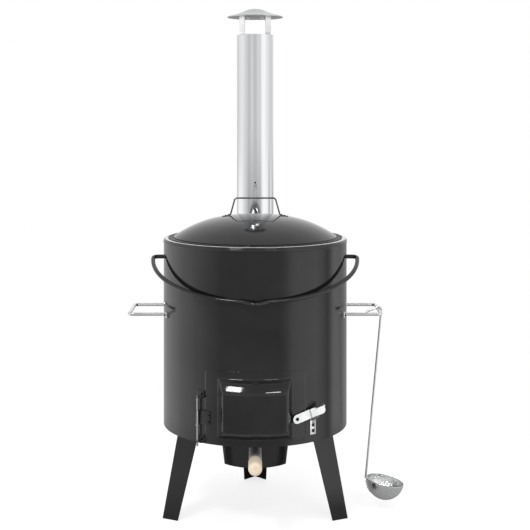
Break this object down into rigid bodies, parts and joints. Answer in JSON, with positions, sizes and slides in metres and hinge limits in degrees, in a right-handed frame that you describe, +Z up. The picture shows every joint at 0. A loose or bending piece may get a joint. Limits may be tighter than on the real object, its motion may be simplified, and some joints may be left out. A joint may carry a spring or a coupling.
{
  "type": "kettle stove",
  "caption": "Free-standing wood-fired drum stove on angle legs with a lift-out covered kettle, bail, hinged fire door, ash cup, capped chimney and a hanging ladle",
  "frame": {"origin": "on the floor, under the axis of the drum", "axes": "+Z up along the drum's axis, -Y the front with the fire door, +X right as seen from the front"},
  "size_m": [0.6727, 0.65, 1.258],
  "materials": {
    "black_enamel": "gloss black enamel",
    "stainless": "polished stainless sheet",
    "zinc_steel": "bright zinc plated steel",
    "dark_rivet": "blackened steel",
    "grate_iron": "raw cast iron",
    "beech": "oiled beech"
  },
  "bodies": {
    "stand": {"drum_shell": "black_enamel", "drum_bottom_plate": "black_enamel", "rim_ring": "stainless", "door_stop_frame": "black_enamel", "fire_grate": "grate_iron", "leg_left": "black_enamel", "leg_right": "black_enamel", "leg_rear": "black_enamel", "leg_bolts": "zinc_steel", "hinge_lug_upper": "black_enamel", "hinge_lug_lower": "black_enamel", "hinge_lug_rivets": "dark_rivet", "hinge_pin": "zinc_steel", "latch_catch": "zinc_steel", "catch_rivets": "dark_rivet", "side_handle_left": "zinc_steel", "side_handle_right": "zinc_steel", "side_handle_bolts": "dark_rivet", "bail_bushes": "black_enamel", "flue_collar": "black_enamel", "flue_elbow": "black_enamel", "flue_spigot": "black_enamel", "flue_flange": "black_enamel", "flue_rivets": "dark_rivet", "bayonet_hooks": "black_enamel"},
    "fire_door": {"door_panel": "black_enamel", "door_knuckle": "black_enamel", "knuckle_rivets": "dark_rivet", "latch_rivet": "dark_rivet"},
    "door_latch": {"latch_lever": "zinc_steel"},
    "kettle": {"pot": "black_enamel", "pot_flange": "black_enamel"},
    "bail_handle": {"bail": "black_enamel"},
    "cover": {"lid": "black_enamel", "lid_skirt": "black_enamel", "lid_handle": "black_enamel", "lid_handle_rivets": "dark_rivet"},
    "ash_pan": {"ash_cup": "black_enamel", "ash_handle_stem": "zinc_steel", "ash_handle_wood": "beech", "ash_handle_screw": "zinc_steel"},
    "chimney": {"chimney_pipe": "stainless", "chimney_rivet": "dark_rivet"},
    "cowl": {"rain_cap": "stainless", "cap_underplate": "stainless", "cap_struts": "stainless", "cap_rivets": "dark_rivet"},
    "ladle": {"ladle_rod": "stainless", "ladle_bowl": "stainless", "ladle_rivets": "stainless"}
  },
  "joints": [
    {"name": "door_swing", "type": "hinge", "parent": "stand", "child": "fire_door", "pos_m": [-0.13274, -0.19027, 0.2725], "axis": [0, 0, -1], "range_deg": [0, 110]},
    {"name": "latch_turn", "type": "hinge", "parent": "fire_door", "child": "door_latch", "pos_m": [0.09606, -0.20788, 0.2725], "axis": [0.4195, -0.9078, 0], "range_deg": [0, 60]},
    {"name": "kettle_lift", "type": "slide", "parent": "stand", "child": "kettle", "axis": [0, 0, 1], "range_m": [0, 0.25]},
    {"name": "bail_swing", "type": "hinge", "parent": "stand", "child": "bail_handle", "pos_m": [0, 0, 0.6176], "axis": [-1, 0, 0], "range_deg": [0, 170]},
    {"name": "cover_lift", "type": "slide", "parent": "kettle", "child": "cover", "axis": [0, 0, 1], "range_m": [0, 0.15]},
    {"name": "ash_pan_turn", "type": "hinge", "parent": "stand", "child": "ash_pan", "pos_m": [0, 0, 0.152], "axis": [0, 0, 1], "range_deg": [0, 40]},
    {"name": "chimney_lift", "type": "slide", "parent": "stand", "child": "chimney", "axis": [0, 0, 1], "range_m": [0, 0.06]},
    {"name": "cowl_lift", "type": "slide", "parent": "chimney", "child": "cowl", "axis": [0, 0, 1], "range_m": [0, 0.06]},
    {"name": "ladle_lift", "type": "slide", "parent": "stand", "child": "ladle", "axis": [0.0931, 0, 0.9957], "range_m": [0, 0.06]}
  ]
}
